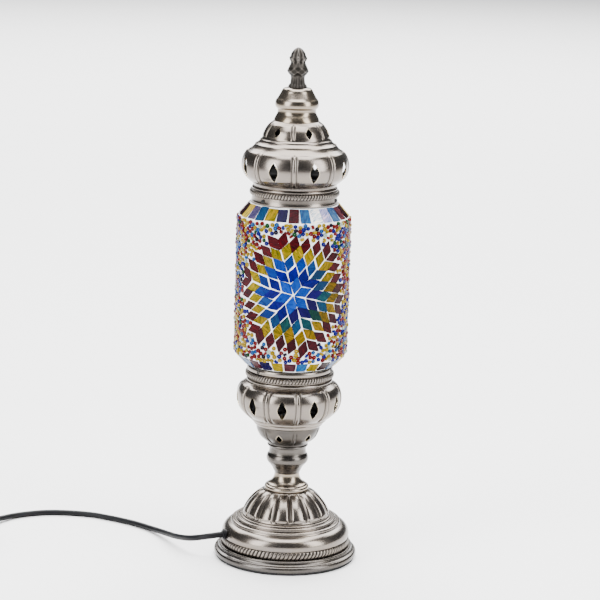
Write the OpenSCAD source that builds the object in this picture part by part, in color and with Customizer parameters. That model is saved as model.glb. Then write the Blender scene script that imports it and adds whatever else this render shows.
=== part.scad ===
// Mosaic glass table lamp: spun and stamped metal stem and caps around a glass tube
// covered with glass tiles and grout. Millimetres, Z up, origin at the middle of the
// felt's underside. Angles round the lamp start at the front (-Y) and grow towards +X.

/* [Foot] */
// Radius of the foot's rolled rim
rim_r = 65.2; // [64.6:0.2:68]
// Thickness of the spun sheet metal
sheet_t = 0.8; // [0.6:0.1:0.9]
// Radius of the felt disc under the foot
felt_r = 63.4; // [60:0.2:64]

/* [Glass] */
// Height of the glass tube's straight wall
glass_h = 123; // [100:1:150]
// Outer radius of the grouted tube
grout_r = 49.9; // [49.5:0.1:50.3]
// Thickness of the grout coat
grout_t = 2.2; // [2:0.1:2.4]
// Thickness of the glass wall
glass_t = 2.4; // [2:0.1:3]

/* [Mosaic] */
// Side of a rhombic tile
tile_side = 9.6; // [8:0.1:9.8]
// Pitch of the tiles along a side, grout joint included
tile_pitch = 10.8; // [10.6:0.1:11]
// Thickness of a tile
tile_t = 2; // [1.6:0.1:2]
// Turn of the star on the tube, clockwise
star_turn = 13; // [0:1:30]
// Tiles round the shoulder
shoulder_n = 28; // [20:1:30]
// Tiles round the bottom edge
skirt_n = 26; // [20:1:28]

/* [Piercing] */
// Panels round the top bowl
top_panels = 8; // [6:1:10]
// Panels round the lower bowl
low_panels = 10; // [6:1:12]
// Panels round the cone and the cup
small_panels = 6; // [5:1:8]
// Width of a hole in the bowls
hole_w = 9; // [6:0.5:10]
// Height of a hole in the bowls
hole_h = 18.5; // [12:0.5:20]

/* [Lead] */
// Diameter of the mains lead
cord_d = 5.4; // [5:0.1:6]

/* [Hidden] */
$fn = 96;

// Levels at which one piece stands on the next
z_ring = 2;
z_shell = 12.1;
z_dome = 39;
z_neck = 62.6;
z_vase = 78.6;
z_cup = 106.2;
z_bowl = 124.4;
z_collar = 164.8;
z_glass = 168;
z_wall = 193.2;
z_shoulder = z_wall + glass_h;
z_cap = z_shoulder + 12.4;
z_top_bowl = z_cap + 14.4;
z_cone = z_top_bowl + 41.4;
z_bell = z_cone + 16.6;
z_finial = z_bell + 29.4;

// Stem: a pipe with an M10 thread, drawn at its full diameter
pipe_r = 5;
pipe_bore_r = 4;
pipe_hole_r = 5.15;
pipe_foot_z = 52;
pipe_top_z = 142;
nut_h = 4;
washer_t = 1;

// Collars that hold the ends of the glass
collar_r = 37.6;
collar_bore_r = 36.6;
neck_r = 35.8;

// Star of tiles on the front and on the back of the tube
star_z = z_wall + 60;

// Bulb and its holder, screw size E14
holder_z = 136;
holder_floor = 151;
thread_r = 7.3;
bulb_cap_r = 6.95;
bulb_ball_r = 22.5;
bulb_ball_z = 217;
bulb_wall_t = 1;

// Lead, laid on the table: from the foot to the switch, and on to the coil and the plug
cord_r = cord_d / 2;
exit_turn = -70;
exit_z = 23.4;
exit_hole_r = cord_r + 1.2;
function from_exit(r) = [r * sin(exit_turn), -r * cos(exit_turn), exit_z];
switch_x = -290;
switch_y = [12, -50];
lead_route = concat([from_exit(58), from_exit(61)], [[-64, -22.4, 22.8], [-70.5, -22.2, 21.6],
    [-77, -20, 19.8], [-83, -16.2, 17.8], [-88.5, -10.5, 15.6], [-95, -1, 13], [-102, 11, 10.2],
    [-109, 25, 7.5], [-117, 40, 5], [-127, 54, 3.2], [-141, 68, 2.7], [-156, 78, 2.7], [-172, 87, 2.7], [-187, 94, 2.7], [-203, 97, 2.7], [-218, 98, 2.7],
    [-232, 97, 2.7], [-246, 92, 2.7], [-260, 84, 2.9], [-270, 73, 3.6], [-278, 60, 5],
    [-285, 47, 6.6], [-289, 38, 7.4], [-290, 33, 7.5], [-290, 30, 7.5]]);
inner_route = concat([from_exit(58), from_exit(54)], [[-44, -16, 22], [-35, -12, 18], [-26, -8, 15],
    [-17, -4, 15], [-9, -1, 20], [-3, 0, 28], [-1, 0, 38], [0, 0, 48], [0, 0, 62], [0, 0, 78],
    [0, 0, 94], [0, 0, 110], [0, 0, 126], [0, 0, 138], [0, 0, 146]]);
run_route = [[-290, -68, 7.5], [-290, -71, 7.5], [-290, -78, 6.8], [-290, -87, 5],
    [-290, -96, 3.7], [-290, -104, 3.5], [-290, -106, 3.5]];
tail_route = [[-356, -88, 14.3], [-356.4, -80, 14], [-357.4, -71, 12], [-359, -62, 9.2],
    [-360.3, -54, 7.5], [-360.5, -49, 7.2], [-360.5, -46, 7.2]];
coil_at = [-327.5, -108];
coil_r = [21.6, 40.4];
coil_z = [0.8, 17];
plug_at = [-360.5, -24, 7.2];
plug_h = 13.7;
tie_w = 9;
tie_t = 0.8;

// Finishes
silver = [0.62, 0.6, 0.58];
dark_silver = [0.4, 0.39, 0.38];
brass = [0.72, 0.62, 0.42];
steel = [0.7, 0.71, 0.72];
black = [0.06, 0.06, 0.06];

// ---------- shared shapes ----------

// Points of an oval stretch, from angle a0 to angle a1
function oval(c, rx, rz, a0, a1, n = 6) =
    [for (i = [0:n]) let (a = a0 + (a1 - a0) * i / n) [c[0] + rx * cos(a), c[1] + rz * sin(a)]];

// Unit vector to the left of the way from a to b
function left_of(a, b) = let (d = (b - a) / norm(b - a)) [-d[1], d[0]];

// Where the inner line ends: square to a flat flange, and level on a wall
function end_step(a, b, t) = let (n = left_of(a, b)) abs(n[1]) > 0.9 ? t * n : [-t, 0];

// The same line moved t to its left, which is the inside of a line that runs upwards
function inner_line(p, t) = let (last = len(p) - 1) [for (i = [0:last])
    i == 0 ? p[0] + end_step(p[0], p[1], t)
    : i == last ? p[last] + end_step(p[last - 1], p[last], t)
    : let (a = left_of(p[i - 1], p[i]), b = left_of(p[i], p[i + 1]))
        p[i] + t * (a + b) / (1 + a * b)];

function reversed(p) = [for (i = [len(p) - 1:-1:0]) p[i]];

// A sheet metal shell turned from its outer line, which runs upwards
module spun(line, t = sheet_t)
    rotate_extrude() polygon(concat(line, reversed(inner_line(line, t))));

// A flat ring from radius a to radius b
module ring(a, b, h)
    rotate_extrude() translate([a, 0]) square([b - a, h]);

// Turn to an angle round the lamp and go out to a radius
module at_angle(a, r = 0, z = 0)
    rotate([0, 0, a - 90]) translate([r, 0, z]) children();

// Ogee lozenge with a small cusp beside each point
module lozenge(w, h) {
    quarter = [[0.5, 0], [0.38, 0.14], [0.21, 0.26], [0.24, 0.3], [0.15, 0.36]];
    polygon(concat(
        [for (q = quarter) [q[0] * w, q[1] * h]], [[0, h / 2]],
        [for (q = reversed(quarter)) [-q[0] * w, q[1] * h]],
        [for (i = [1:4]) [-quarter[i][0] * w, -quarter[i][1] * h]], [[0, -h / 2]],
        [for (i = [4:-1:1]) [quarter[i][0] * w, -quarter[i][1] * h]]));
}

// Ring of lozenge holes at radius r, leaning back by lean
module lozenge_holes(n, first, r, z, w, h, lean = 0)
    for (k = [0:n - 1]) at_angle(first + k * 360 / n, r, z)
        rotate([0, -lean, 0]) rotate([90, 0, 90])
            translate([0, 0, -8]) linear_extrude(16) lozenge(w, h);

// Half-round ring with a flat bore, the core of a twisted wire moulding
module rope_ring(bore_r, out_r, h)
    rotate_extrude() polygon(concat([[bore_r, 0]],
        oval([out_r - 2, h / 2], 2, h / 2, -90, 90, 8), [[bore_r, h]]));

// Three grub screws round a collar, from its outside to the glass neck
module grub_screws(z)
    for (k = [0:2]) at_angle(-46 + 120 * k, neck_r + 0.3, z)
        rotate([0, 90, 0]) difference() {
            cylinder(r = 1.5, h = 3.2);
            translate([0, 0, 2.2]) cylinder(r = 0.8, h = 2);
        }

// A tube of radius r along a route: one ring of corners at each point
function way(p, i) = let (d = p[min(i + 1, len(p) - 1)] - p[max(i - 1, 0)]) d / norm(d);
function across(d) = abs(d[2]) > 0.9 ? cross(d, [0, 1, 0]) : cross([0, 0, 1], d);
module tube(p, r, sides = 10) {
    corners = [for (i = [0:len(p) - 1]) let (d = way(p, i), s = across(d) / norm(across(d)),
        u = cross(d, s)) for (k = [0:sides - 1]) p[i]
        + r * cos(k * 360 / sides) * s + r * sin(k * 360 / sides) * u];
    last = (len(p) - 1) * sides;
    walls = [for (i = [0:len(p) - 2]) for (k = [0:sides - 1]) let (m = (k + 1) % sides)
        each [[i * sides + k, (i + 1) * sides + k, (i + 1) * sides + m],
              [i * sides + k, (i + 1) * sides + m, i * sides + m]]];
    polyhedron(corners, concat(walls, [[for (k = [0:sides - 1]) k]],
        [[for (k = [sides - 1:-1:0]) last + k]]));
}

// ---------- foot ----------

module felt_pad() color(black)
    cylinder(r = felt_r, h = z_ring);

// Cast rim: rolled lip, hollow, and the ledge that carries the shell
module base_ring() color(silver)
    rotate_extrude() polygon(concat(
        [[54.4, z_ring], [rim_r - 2, z_ring]],
        oval([rim_r - 2, 4.8], 2, 2.8, -80, 90, 8),
        [[62.2, 8.1], [61, 9.1], [60.7, 9.7]],
        oval([59.9, 10.9], 1.2, 1.2, -40, 90, 5),
        [[54.4, z_shell], [54.4, 10.6], [58.2, 9.6], [58.2, 4], [54.4, 4]]));

module foot_rope() color(dark_silver)
    translate([0, 0, z_shell]) rope_ring(56, 58.3, 7.3);

// Bulging skirt and three stepped rings, spun from one sheet
module foot_shell() color(silver) difference() {
    spun(concat(
        [[56, z_shell], [56, 19.4], [57.4, 19.7]],
        oval([48, 22.2], 10.15, 10, -13, 74, 9),
        [[50.2, 32]],
        oval([48, 33.5], 1.9, 1.5, -20, 110, 5),
        [[45.6, 35.1]],
        oval([44, 36.4], 1.6, 1.3, -20, 110, 5),
        [[42.1, 37.8]],
        oval([41, 38.1], 1.1, 0.9, -10, 90, 4),
        [[35, z_dome]]));
    at_angle(exit_turn, 52, exit_z) rotate([0, 90, 0]) cylinder(r = exit_hole_r, h = 12);
}

// Fluted dome; its flat top is clamped under the collar
module foot_dome() color(silver)
    spun(concat(
        [[39.6, z_dome]],
        oval([2.8, 27.6], 38.7, 38.7, 18.2, 62, 9),
        [[20.2, z_neck], [pipe_hole_r, z_neck]]));

module foot_collar() color(brass)
    translate([0, 0, z_neck]) spun(concat(
        [[19.2, 0]],
        oval([18.6, 2.4], 1.6, 2, -60, 80, 5),
        oval([21, 15.4], 9.6, 10.4, -112, -180, 6),
        [[11.4, z_vase - z_neck], [pipe_hole_r, z_vase - z_neck]]));

// ---------- stem ----------

module stem_vase() color(silver) translate([0, 0, z_vase])
    spun(concat(
        [[pipe_hole_r, 0], [11.2, 0], [12.2, 1.6], [14.4, 6.1], [15.8, 7.9]],
        oval([13, 14.1], 6.1, 6.4, -56, 46, 7),
        [[16.9, 19.8], [16.9, 24.6], [17.6, 25.4], [18.5, 26.1], [18.3, 27.1], [17.6, z_cup - z_vase]]));

// Line of the pierced cup, its wide end up; the top cone is the same stamping turned over
cup_line = [[pipe_hole_r, 0], [18, 0], [19.3, 2.3], [22.5, 5], [25.5, 8], [27.5, 11.7], [28.7, 15.6],
    [29, 18.2]];

module lower_cup() color(silver) translate([0, 0, z_cup]) difference() {
    spun(cup_line);
    lozenge_holes(small_panels, -77, 26.2, 9.6, 5.8, 8.6, -32);
}

module lower_bowl() color(silver) translate([0, 0, z_bowl]) difference() {
    spun([[pipe_hole_r, 0], [29.2, 0], [31, 0.8], [31.7, 2], [31.9, 3.2], [33.8, 4.2], [34.7, 5.4],
        [35.2, 6.6], [38.6, 9.4], [42, 12.5], [44.6, 15.8], [46.4, 20.6], [47.2, 26.1],
        [46.7, 31], [44.8, 35.1], [41.6, 38.2], [38.2, 39.8], [37.8, z_collar - z_bowl]]);
    lozenge_holes(low_panels, -7, 46.4, 22.4, hole_w, hole_h, -4);
}

module lower_collar() color(silver) difference() {
    rotate_extrude() polygon(concat(
        [[31, z_collar], [38.2, z_collar]],
        oval([37.9, 166.7], 1.1, 1.3, -70, 70, 5),
        [[collar_r, 168.9], [collar_r, 174.6]],
        oval([37.5, 177.5], 1.4, 2.6, -80, 80, 6),
        [[collar_bore_r, 180.4], [collar_bore_r, z_glass], [31, z_glass]]));
    for (k = [0:2]) at_angle(-46 + 120 * k, collar_bore_r - 1, 177.5)
        rotate([0, 90, 0]) cylinder(r = 1.55, h = 5);
}

module lower_rope() color(dark_silver)
    translate([0, 0, 169.2]) rope_ring(collar_r, 40.1, 5.2);

module collar_screws() color(dark_silver) grub_screws(177.5);

module stem_pipe() color(steel)
    translate([0, 0, pipe_foot_z]) difference() {
        cylinder(r = pipe_r, h = pipe_top_z - pipe_foot_z);
        translate([0, 0, -1]) cylinder(r = pipe_bore_r, h = pipe_top_z);
    }

// Hex nuts under the dome and on the floor of the lower bowl
nut_levels = [z_neck - sheet_t - washer_t - nut_h, z_bowl + sheet_t + washer_t];
module pipe_nuts() color(brass) for (z = nut_levels) translate([0, 0, z]) difference() {
    cylinder(r = 8, h = nut_h, $fn = 6);
    translate([0, 0, -1]) cylinder(r = pipe_r, h = nut_h + 2);
}

washer_levels = [z_neck - sheet_t - washer_t, z_bowl + sheet_t];
module pipe_washers() color(steel)
    for (z = washer_levels) translate([0, 0, z]) ring(pipe_hole_r, 10, washer_t);

// ---------- lamp holder and bulb ----------

module holder_cap() color(black)
    rotate_extrude() polygon([[pipe_r, holder_z], [9, holder_z], [13.4, holder_z + 7],
        [13.4, holder_z + 16], [12, holder_z + 16], [12, holder_z + 8.5], [pipe_r, holder_z + 8.5]]);

// Its floor carries the contact and the threaded sleeve
module holder_shell() color(black)
    rotate_extrude() polygon([[0, holder_floor - 2.5], [12, holder_floor - 2.5], [12, holder_z + 16],
        [13.4, holder_z + 16], [13.4, 176], [12.6, 178.5], [8.3, 178.5], [8.3, holder_floor],
        [0, holder_floor]]);

module holder_thread() color(brass)
    translate([0, 0, holder_floor]) ring(thread_r, 8.3, 23);

module holder_contact() color(brass)
    translate([0, 0, holder_floor]) cylinder(r = 4, h = 2.6);

module bulb_cap() color(steel) translate([0, 0, 156.4])
    rotate_extrude() polygon([[2.6, 0], [5.2, 0], [bulb_cap_r, 2.4], [bulb_cap_r, 21],
        [6, 21], [6, 3.2], [2.6, 1.2]]);

module bulb_contact() color(brass)
    translate([0, 0, 153.9]) cylinder(r = 2.4, h = 3.2);

// Frosted golf-ball bulb: neck and ball, hollow
module bulb_glass() color([0.95, 0.95, 0.92])
    spun(concat([[6, 159.6], [6, 177.4], [7.6, 178.6], [9, 184]],
        oval([0, bulb_ball_z], bulb_ball_r, bulb_ball_r, -58, 84, 12),
        [[0, bulb_ball_z + bulb_ball_r * sin(84)]]), bulb_wall_t);

// ---------- glass tube and mosaic ----------

// Outer line of the grout, from the lower neck to the upper neck
coat_line = concat(
    [[38.8, z_wall - 12], [42.8, z_wall - 8.4], [46.8, z_wall - 5]],
    oval([grout_r - 5.2, z_wall], 5.2, 5, -50, 0, 4),
    oval([grout_r - 2, z_shoulder], 2, 2.4, 0, 40, 3),
    [[39.6, z_cap - 0.4]]);
glass_line = inner_line(coat_line, grout_t);

module grout_coat() color([0.95, 0.95, 0.94])
    rotate_extrude() polygon(concat(coat_line, reversed(glass_line)));

// Blown tube; each end is drawn in to a short neck that stands in a collar
module glass_tube() color([0.8, 0.87, 0.9, 0.4]) {
    low = glass_line[0];
    high = glass_line[len(glass_line) - 1];
    line = concat([[neck_r, z_glass], [neck_r, low[1] - 0.8], low],
        [for (i = [1:len(glass_line) - 2]) glass_line[i]],
        [high, [neck_r, high[1] + 0.3], [neck_r, z_cap + 12.4]]);
    spun(line, glass_t);
}

// One flat tile, its outline in the unrolled wall, at an angle and height on the tube
module tile_at(u, v) at_angle(u / grout_r * 180 / PI, grout_r + 0.3 - tile_t, v)
    rotate([90, 0, 90]) linear_extrude(tile_t) children();

// Ring of the six-armed star: each arm is a lattice of rhombs, and ring n holds n of each arm's
module star_ring(n) for (face = [0, 1], arm = [0:5], i = [0:n - 1]) {
    turn = arm * 60 + star_turn;
    along = n * tile_pitch * cos(30);
    aside = (2 * i - n + 1) * tile_pitch * sin(30);
    u = along * sin(turn) + aside * cos(turn) + face * PI * grout_r;
    v = along * cos(turn) - aside * sin(turn) + star_z;
    tile_at(u, v) rotate(-turn) rhomb();
}

module rhomb() polygon([[0, tile_side * cos(30)], [-tile_side / 2, 0],
    [0, -tile_side * cos(30)], [tile_side / 2, 0]]);

module sky_tiles() color([0.25, 0.5, 0.85]) star_ring(1);
module cobalt_tiles() color([0.15, 0.1, 0.75]) star_ring(2);
module turquoise_tiles() color([0.2, 0.5, 0.6]) star_ring(3);
module amber_tiles() color([0.62, 0.58, 0.12]) star_ring(4);
module maroon_tiles() color([0.35, 0.1, 0.15]) star_ring(5);

// Ring of flat rectangular tiles on a sloping part of the coat
module band_tiles(n, r, z, w, l, lean)
    for (k = [0:n - 1]) at_angle((k + 0.5) * 360 / n, r, z) rotate([0, lean, 0])
        translate([0.3 - tile_t, -w / 2, -l / 2]) cube([tile_t, w, l]);

module shoulder_tiles() color([0.3, 0.35, 0.55])
    band_tiles(shoulder_n, 44.3, z_shoulder + 7.1, 8, 12.2, -43);
module skirt_tiles() color([0.3, 0.25, 0.5])
    band_tiles(skirt_n, 43.2, z_wall - 8.1, 8.6, 8.4, 48);

// ---------- cap ----------

module upper_collar() color(silver) translate([0, 0, z_cap]) difference() {
    rotate_extrude() polygon(concat(
        [[collar_bore_r, 0], [38.6, 0], [38.2, 3], [38.2, 6.2], [collar_r, 6.6], [collar_r, 11.4]],
        oval([36.8, 12.8], 1.4, 1.3, -40, 70, 5),
        [[36.8, 14.4], [30, 14.4], [30, 12.8], [collar_bore_r, 12.8]]));
    for (k = [0:2]) at_angle(-46 + 120 * k, collar_bore_r - 1, 3.6)
        rotate([0, 90, 0]) cylinder(r = 1.55, h = 5);
}

module upper_rope() color(dark_silver)
    translate([0, 0, z_cap + 6.6]) rope_ring(collar_r, 40, 4.8);

module cap_screws() color(dark_silver) grub_screws(z_cap + 3.6);

// Flat bar across the cap's floor; the rod pulls the whole cap down on it
module cap_bridge() color(steel) translate([0, 0, z_top_bowl - 3.6]) difference() {
    intersection() {
        translate([-6, -35, 0]) cube([12, 70, 2]);
        cylinder(r = 32.6, h = 2);
    }
    translate([0, 0, -1]) cylinder(r = 2.1, h = 4);
}

module cap_rod() color(steel)
    translate([0, 0, z_top_bowl - 9]) cylinder(r = 2, h = z_finial + 7 - z_top_bowl + 9);

cap_nut_levels = [z_top_bowl - 3.6 - 3.2, z_top_bowl - 1.6];
module cap_nuts() color(steel) for (z = cap_nut_levels) translate([0, 0, z]) difference() {
    cylinder(r = 4.04, h = 3.2, $fn = 6);
    translate([0, 0, -1]) cylinder(r = 2, h = 6);
}

module top_bowl() color(silver) translate([0, 0, z_top_bowl]) difference() {
    spun(concat(
        [[30, 0], [36.8, 0], [37.8, 2.4], [41, 5.6], [44.2, 8.8], [46.2, 12.8], [47.1, 17.8],
         [46.6, 23], [45.2, 27.2], [43, 30.6], [40.4, 32.6], [39.3, 33.2]],
        oval([37.6, 35.2], 1.7, 1.7, -30, 90, 5),
        [[35.8, 37.4]],
        oval([33.7, 38.9], 2, 2, -25, 90, 5),
        [[33.2, z_cone - z_top_bowl], [28.4, z_cone - z_top_bowl]]));
    lozenge_holes(top_panels, -23.5, 46.4, 16.6, hole_w, hole_h, 3);
}

module upper_cone() color(silver) translate([0, 0, z_cone]) difference() {
    spun([[31.4, 0], [29.9, 1.8], [28.6, 5.2], [26.8, 9.2], [24.6, 12.2], [21, 15.8], [20, 16.6]]);
    lozenge_holes(small_panels, -36, 27.2, 8, 6.4, 10.6, 22);
}

module bell_cap() color(silver) translate([0, 0, z_bell])
    spun([[20.2, 0], [19.8, 1.6], [18.6, 4], [17.3, 6.4], [17, 8.4], [17.2, 10.6], [18.6, 12.8],
        [19.4, 15.2], [18.9, 17.6], [18, 19.8], [16, 22.4], [14.3, 25], [13.4, 27], [12, 28.6],
        [9.6, 29.4], [2.2, 29.4]]);

// Casting: foot, ribbed neck, strapwork bulb, leaf collar and bud
module finial() color(dark_silver) translate([0, 0, z_finial]) difference() {
    rotate_extrude() polygon([[0, 0], [8, 0], [8.2, 0.8], [6.7, 3.2], [6.3, 4.2], [6.3, 9.4],
        [6.6, 10.6], [8.8, 13.2], [9.4, 14.8], [9, 16.6], [7, 20.4], [6.1, 22.6], [6.6, 24.2],
        [7.7, 26.2], [6.4, 27.8], [6, 29.2], [4.9, 31.4], [3, 33.6], [1.4, 35], [0, 35.4]]);
    translate([0, 0, -1]) cylinder(r = 2, h = 8);
}

// ---------- lead, switch and plug ----------

// Sleeve through the foot's bulge, with a flange outside it
module cord_grommet() color(black) at_angle(exit_turn, 55, exit_z) rotate([0, 90, 0]) {
    ring(cord_r, exit_hole_r, 6);
    translate([0, 0, 3.4]) ring(cord_r, 5, 1.4);
}

module inner_cord() color(black) tube(inner_route, cord_r);
module cord_lead() color(black) tube(lead_route, cord_r);
module cord_run() color(black) tube(run_route, cord_r);
module cord_tail() color(black) tube(tail_route, cord_r);

// Two halves of the switch's case, split at half height, with rounded ends
case_w = 27;
case_h = 15;
case_wall = 1.6;
case_mid = [switch_x, (switch_y[0] + switch_y[1]) / 2];
case_l = switch_y[0] - switch_y[1];
module case_plan(inset = 0) union() {
    square([case_w - 2 * inset, case_l - 16], center = true);
    square([case_w - 16, case_l - 2 * inset], center = true);
    for (x = [-1, 1], y = [-1, 1]) translate([x * (case_w / 2 - 8), y * (case_l / 2 - 8)])
        circle(r = 8 - inset);
}
module case_half(z, floor_z) translate([case_mid[0], case_mid[1], z]) difference() {
    linear_extrude(case_h / 2) case_plan();
    translate([0, 0, floor_z]) linear_extrude(case_h / 2) case_plan(case_wall);
}

// Screw pillars stand clear of the rocker, and two posts carry its trunnions
screw_y = [-24, 24];
rocker_w = 13;
rocker_l = 21;
rocker_gap = 0.4;
rocker_axis_z = 11.5;
trunnion_r = 1;
module switch_base() color(black) difference() {
    union() {
        case_half(0, case_wall);
        for (y = screw_y) translate([case_mid[0], case_mid[1] + y, 0]) cylinder(r = 3, h = 7.5);
        for (x = [-8.9, 7]) translate([case_mid[0] + x, case_mid[1] - 1.5, 1])
            cube([1.9, 3, rocker_axis_z - trunnion_r - 0.3 - 1]);
    }
    for (y = screw_y) translate([case_mid[0], case_mid[1] + y, -1]) cylinder(r = 1.2, h = 10);
}

module switch_cover() color(black) difference() {
    case_half(case_h / 2, -case_wall);
    translate([case_mid[0] - rocker_w / 2 - rocker_gap, case_mid[1] - rocker_l / 2 - 2 * rocker_gap,
        case_h - 3]) cube([rocker_w + 2 * rocker_gap, rocker_l + 4 * rocker_gap, 6]);
}

// Rocker: a shallow V seen from the side, pivoting on its own trunnions
module switch_rocker() color(black)
    translate([case_mid[0], case_mid[1], rocker_axis_z]) rotate([90, 0, 90]) {
        linear_extrude(rocker_w, center = true) polygon([[-9.2, 2.4], [-9.4, 5.2], [0, 3.9],
            [9.2, 1.4], [9.2, -1.2], [3, -2.4], [-3, -2.4]]);
        cylinder(r = trunnion_r, h = rocker_w + 4, center = true);
    }

module switch_screws() color(steel)
    for (y = screw_y) translate([case_mid[0], case_mid[1] + y, 0.3]) cylinder(r = 1.2, h = 6.8);

// Tapered sleeves where the lead enters and leaves the switch
module relief() cylinder(r1 = 5.1, r2 = 3.5, h = 18);
module switch_reliefs() color(black) {
    translate([switch_x, switch_y[0], case_h / 2]) rotate([-90, 0, 0]) relief();
    translate([switch_x, switch_y[1], case_h / 2]) rotate([90, 0, 0]) relief();
}

// Outer shape of the coiled length
module cord_coil() color(black) translate([coil_at[0], coil_at[1], coil_z[0]])
    ring(coil_r[0], coil_r[1], coil_z[1] - coil_z[0]);

// Strap round the coil's turns
module cord_tie() color(black)
    translate([coil_at[0], coil_at[1] - (coil_r[0] + coil_r[1]) / 2, 0]) difference() {
        depth = coil_r[1] - coil_r[0] + 1.6;
        height = coil_z[1] + tie_t;
        translate([-tie_w / 2, -depth / 2 - tie_t, 0]) cube([tie_w, depth + 2 * tie_t, height]);
        translate([-tie_w, -depth / 2, tie_t]) cube([2 * tie_w, depth, height - 2 * tie_t]);
    }

module plug_relief() color(black)
    translate([plug_at[0], plug_at[1] - 4, plug_at[2]]) rotate([90, 0, 0]) relief();

// Flat two-pin plug, narrower towards the lead
module plug_body() color(black) translate([plug_at[0], plug_at[1] - 4, plug_at[2] - plug_h / 2])
    linear_extrude(plug_h) polygon([[-6.5, 0], [-12, 5], [-13, 9], [-13, 36], [13, 36], [13, 9],
        [12, 5], [6.5, 0]]);

module plug_pins() color(steel)
    for (x = [-9.3, 9.3]) translate([plug_at[0] + x, plug_at[1] + 32, plug_at[2]])
        rotate([-90, 0, 0]) cylinder(r = 2, h = 19);

// ---------- the pieces ----------

felt_pad();
base_ring();
foot_rope();
foot_shell();
foot_dome();
foot_collar();
stem_vase();
lower_cup();
lower_bowl();
lower_collar();
lower_rope();
collar_screws();
stem_pipe();
pipe_nuts();
pipe_washers();
holder_cap();
holder_shell();
holder_thread();
holder_contact();
bulb_glass();
bulb_cap();
bulb_contact();
glass_tube();
grout_coat();
sky_tiles();
cobalt_tiles();
turquoise_tiles();
amber_tiles();
maroon_tiles();
shoulder_tiles();
skirt_tiles();
upper_collar();
upper_rope();
cap_screws();
cap_bridge();
cap_rod();
cap_nuts();
top_bowl();
upper_cone();
bell_cap();
finial();
cord_grommet();
inner_cord();
cord_lead();
switch_base();
switch_cover();
switch_rocker();
switch_screws();
switch_reliefs();
cord_run();
cord_coil();
cord_tie();
cord_tail();
plug_relief();
plug_body();
plug_pins();
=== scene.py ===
import bmesh
import bpy
import numpy as np
from mathutils import Matrix, Vector


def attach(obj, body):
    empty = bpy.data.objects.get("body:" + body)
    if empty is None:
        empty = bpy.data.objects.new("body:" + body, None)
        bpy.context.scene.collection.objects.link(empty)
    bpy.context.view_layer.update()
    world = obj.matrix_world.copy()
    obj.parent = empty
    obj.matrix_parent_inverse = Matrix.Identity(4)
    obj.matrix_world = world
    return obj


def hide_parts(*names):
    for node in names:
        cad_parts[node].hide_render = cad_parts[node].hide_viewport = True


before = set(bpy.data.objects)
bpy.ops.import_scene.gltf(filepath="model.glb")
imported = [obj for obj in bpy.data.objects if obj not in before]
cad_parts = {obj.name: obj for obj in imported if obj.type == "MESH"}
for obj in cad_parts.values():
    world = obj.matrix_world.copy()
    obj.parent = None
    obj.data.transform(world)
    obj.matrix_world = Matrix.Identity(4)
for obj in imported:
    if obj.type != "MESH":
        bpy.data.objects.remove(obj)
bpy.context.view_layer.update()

# ---------- camera ----------
# A long lens about two metres off, a little above the lamp and turned a touch to the left,
# so that the lamp stands as a buyer sees it on a table.
eye = (0.0075, -1.895, 0.627)
looking_down = np.radians(11.57)
leaning = np.radians(1.63)
lens = bpy.data.cameras.new("lens")
lens.lens = 128.9
lens.sensor_width = 36
lens.clip_start = 0.05
lens.clip_end = 60
camera = bpy.data.objects.new("camera", lens)
camera.matrix_world = (Matrix.Translation(eye) @ Matrix.Rotation(np.pi / 2 - looking_down, 4, "X")
                       @ Matrix.Rotation(leaning, 4, "Z"))
bpy.context.scene.collection.objects.link(camera)
bpy.context.scene.camera = camera


# ---------- mains lead ----------
# Round black PVC flex, 5.4 mm across. It leaves the foot through a grommet, runs to the in-line
# switch, and its spare length is wound in three layers, held by a strap, before the plug.
class Wire:
    """An output of a material's nodes. Sums written on it add Math nodes."""

    def __init__(self, tree, socket):
        self.tree = tree
        self.socket = socket

    def sum(self, kind, *terms):
        node = self.tree.nodes.new("ShaderNodeMath")
        node.operation = kind
        for slot, term in zip(node.inputs, terms):
            if isinstance(term, Wire):
                self.tree.links.new(term.socket, slot)
            else:
                slot.default_value = term
        return Wire(self.tree, node.outputs[0])

    def __add__(self, other):
        return self.sum("ADD", self, other)

    def __radd__(self, other):
        return self.sum("ADD", other, self)

    def __sub__(self, other):
        return self.sum("SUBTRACT", self, other)

    def __rsub__(self, other):
        return self.sum("SUBTRACT", other, self)

    def __mul__(self, other):
        return self.sum("MULTIPLY", self, other)

    def __rmul__(self, other):
        return self.sum("MULTIPLY", other, self)

    def between(self, low, high):
        """0 at low, 1 at high, and held at those ends."""
        node = self.tree.nodes.new("ShaderNodeMapRange")
        self.tree.links.new(self.socket, node.inputs[0])
        node.inputs[1].default_value = low
        node.inputs[2].default_value = high
        return Wire(self.tree, node.outputs[0])


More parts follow.
